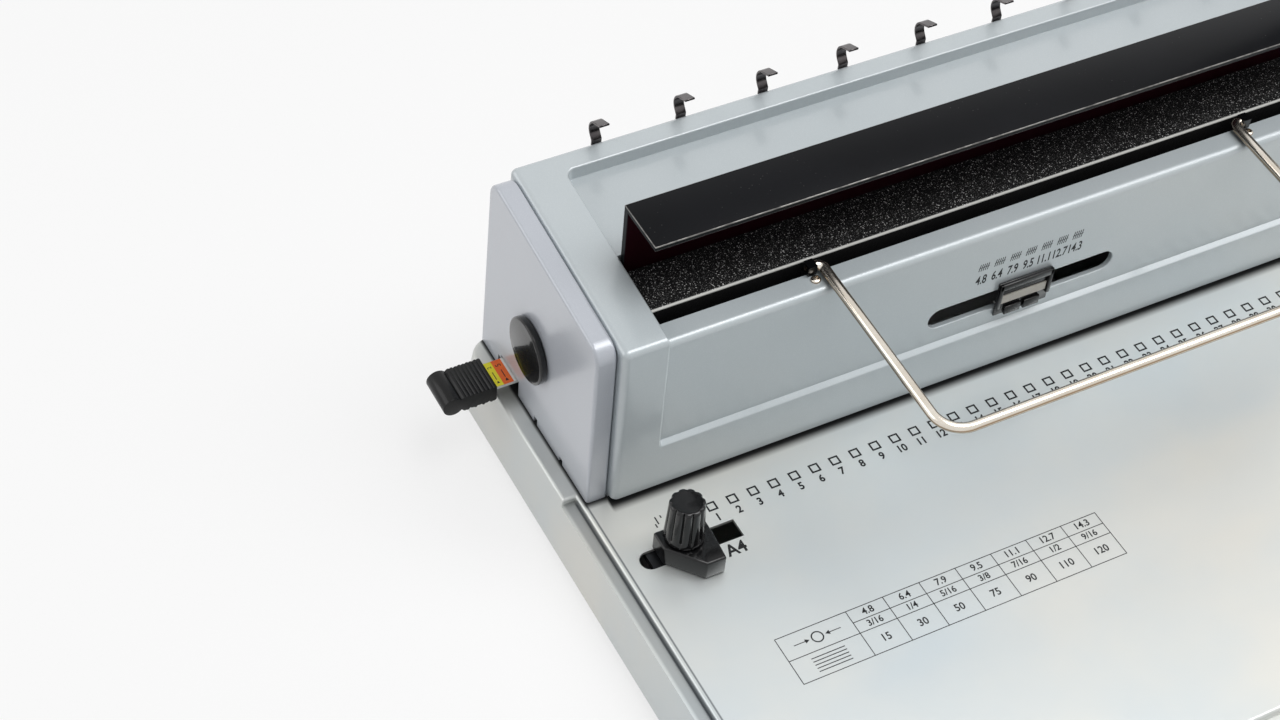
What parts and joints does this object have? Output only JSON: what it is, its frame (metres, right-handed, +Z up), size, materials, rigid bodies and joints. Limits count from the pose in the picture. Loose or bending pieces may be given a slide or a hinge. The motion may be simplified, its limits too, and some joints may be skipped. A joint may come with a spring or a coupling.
{
  "type": "wire binding machine",
  "caption": "Manual desk machine that punches a row of square holes in sheets and closes wire loops under a black angle bar, on a flared steel base tray",
  "frame": {"origin": "middle of the bounding box in X and Y, at the underside of the rubber feet", "axes": "+X along the row of holes towards the lever, +Y from the user to the back, +Z up"},
  "size_m": [0.4174, 0.275, 0.2856],
  "materials": {
    "satin_steel": "satin silver coated sheet steel",
    "silver_paint": "metallic silver paint, semi gloss",
    "silver_paint_cap": "metallic silver paint, semi gloss",
    "black_rubber": "black rubber",
    "zinc_steel": "bright zinc plate",
    "tool_steel": "ground tool steel",
    "spring_steel": "dark spring steel",
    "bright_wire": "nickel plated rod",
    "bronze": "sintered bronze",
    "black_plastic": "black moulded plastic",
    "black_gloss": "glossy black moulded plastic",
    "black_enamel": "black enamel with worn edges",
    "black_texture": "gritty black powder coat",
    "slider_white": "white plastic with coloured bands"
  },
  "bodies": {
    "housing": {"base_pan": "satin_steel", "bottom_plate": "satin_steel", "rubber_feet": "black_rubber", "foot_screws": "zinc_steel", "base_posts": "zinc_steel", "drawer_rails": "zinc_steel", "main_cover": "silver_paint", "left_end_cap": "silver_paint_cap", "right_end_cap": "silver_paint_cap", "hook_strip": "spring_steel", "hook_rivets": "zinc_steel", "side_frame_left": "zinc_steel", "side_frame_right": "zinc_steel", "front_tie_bar": "zinc_steel", "rear_tie_bar": "zinc_steel", "frame_screws": "zinc_steel", "shaft_bushes": "bronze", "slide_guides": "black_plastic", "die_plate": "tool_steel", "guide_plate": "tool_steel", "throat_spacers": "zinc_steel", "throat_guide": "zinc_steel", "closer_platform": "black_texture", "platform_brackets": "zinc_steel", "slider_guides": "black_plastic", "stop_bar_clips": "zinc_steel", "support_clips": "black_plastic", "support_clip_screws": "bright_wire"},
    "lever": {"main_shaft": "tool_steel", "punch_cams": "tool_steel", "closer_cranks": "tool_steel", "shaft_end_cap": "black_gloss", "handle_hub": "black_plastic", "handle_arm": "black_enamel", "handle_grip": "black_rubber", "handle_bolt": "zinc_steel"},
    "punch": {"punch_bar": "tool_steel", "punch_pins": "tool_steel", "return_springs": "spring_steel"},
    "closer": {"closing_bar": "black_enamel", "closer_yokes": "zinc_steel", "closer_stop_tab": "zinc_steel", "yoke_screws": "zinc_steel"},
    "margin": {"margin_slider": "slider_white", "margin_grip": "black_plastic"},
    "back_stop": {"paper_back_stop": "zinc_steel"},
    "sheet_guide": {"edge_guide": "black_plastic", "guide_clamp_plate": "zinc_steel", "guide_stud": "zinc_steel"},
    "clamp_knob": {"guide_knob": "black_gloss"},
    "selector": {"selector_knob": "black_plastic", "size_stop_bar": "zinc_steel"},
    "support": {"support_frame": "bright_wire"},
    "drawer": {"chip_drawer": "black_plastic"}
  },
  "joints": [
    {"name": "lever_turn", "type": "hinge", "parent": "housing", "child": "lever", "pos_m": [0, 0.093, 0.063], "axis": [1, 0, 0], "range_deg": [0, 80], "stiffness_Nm_per_rad": 0.6, "springref_deg": -20.05},
    {"name": "punch_slide", "type": "slide", "parent": "housing", "child": "punch", "axis": [0, 0, -1], "range_m": [0, 0.008], "deforming": ["return_springs"]},
    {"name": "closer_slide", "type": "slide", "parent": "housing", "child": "closer", "axis": [0, 0, -1], "range_m": [0, 0.02186]},
    {"name": "margin_slide", "type": "slide", "parent": "housing", "child": "margin", "axis": [1, 0, 0], "range_m": [-0.008, 0.0072]},
    {"name": "back_stop_slide", "type": "slide", "parent": "housing", "child": "back_stop", "axis": [0, 1, 0], "range_m": [-0.0016, 0.00144]},
    {"name": "guide_slide", "type": "slide", "parent": "housing", "child": "sheet_guide", "axis": [1, 0, 0], "range_m": [-0.009, 0.008]},
    {"name": "knob_turn", "type": "hinge", "parent": "sheet_guide", "child": "clamp_knob", "pos_m": [-0.1584, 0.0146, 0.045], "axis": [0, 0, 1], "range_deg": [0, 180]},
    {"name": "selector_slide", "type": "slide", "parent": "housing", "child": "selector", "axis": [1, 0, 0], "range_m": [-0.0204, 0.0204]},
    {"name": "support_turn", "type": "hinge", "parent": "housing", "child": "support", "pos_m": [0, 0.0549, 0.1036], "axis": [-1, 0, 0], "range_deg": [0, 80]},
    {"name": "drawer_slide", "type": "slide", "parent": "housing", "child": "drawer", "axis": [0, 1, 0], "range_m": [0, 0.06]}
  ],
  "couplings": [
    {"joint": "punch_slide", "follows": "lever_turn", "m_per_rad": 0.0057296},
    {"joint": "closer_slide", "follows": "lever_turn", "m_per_rad": 0.015652},
    {"joint": "back_stop_slide", "follows": "margin_slide", "ratio": 0.2}
  ]
}
